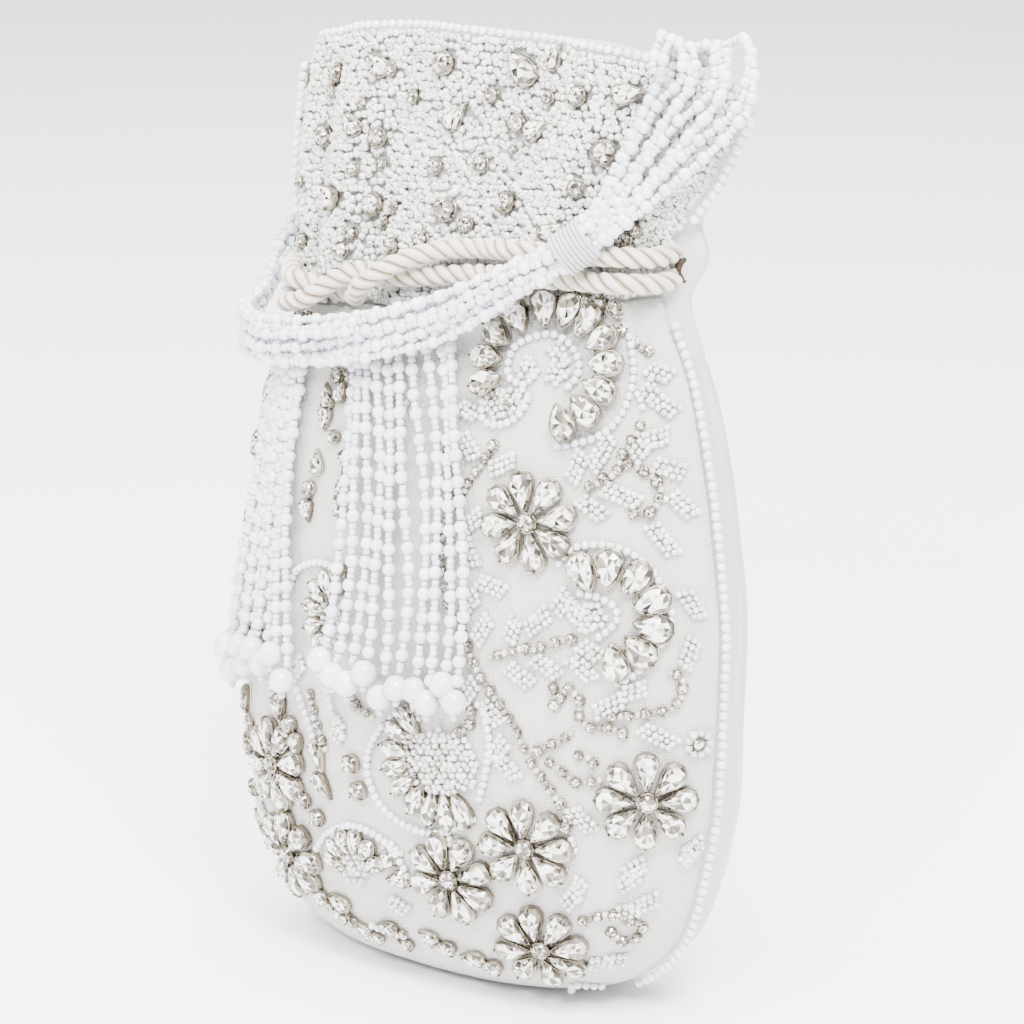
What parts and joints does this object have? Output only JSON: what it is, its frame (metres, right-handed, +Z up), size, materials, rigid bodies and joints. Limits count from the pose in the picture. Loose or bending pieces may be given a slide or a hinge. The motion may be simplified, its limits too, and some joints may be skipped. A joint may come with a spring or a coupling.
{
  "type": "reticule",
  "caption": "Gathered drawstring reticule in pale satin with a bead-crusted yoke, stone flowers and paisleys, a rope drawstring, a pearl-string strap and two pearl tassels.",
  "frame": {"origin": "on the flat base, under the middle of the pouch", "axes": "+Z up, the beaded front faces -Y, +X is to the right seen from the front"},
  "size_m": [0.1626, 0.0693, 0.2592],
  "materials": {
    "satin": "soft satin cloth",
    "net": "fine embroidered net over satin",
    "seed_bead": "glossy pearl-white seed beads",
    "pearl": "lustrous imitation pearl",
    "rope": "twisted ivory silk cord",
    "crystal": "foiled cut stones in silver cups"
  },
  "bodies": {
    "root": {"satin_pouch": "satin", "net_overlay": "net", "beaded_yoke": "seed_bead", "flower_middle": "crystal", "flower_right": "crystal", "flower_low_centre": "crystal", "flower_low_left": "crystal", "flower_base": "crystal", "flower_side_upper": "crystal", "flower_side_lower": "crystal", "paisley_top": "crystal", "paisley_middle": "crystal", "paisley_low": "crystal", "arch_low": "crystal", "fan_side": "crystal", "seam_pearls_right": "pearl", "yoke_pearls_right": "pearl", "seam_pearls_left": "pearl", "yoke_pearls_left": "pearl", "rim_pearls": "pearl", "drawstring_upper": "rope", "drawstring_lower": "rope", "pearl_strap": "pearl", "tassel_left": "pearl", "tassel_right": "pearl"}
  },
  "joints": []
}
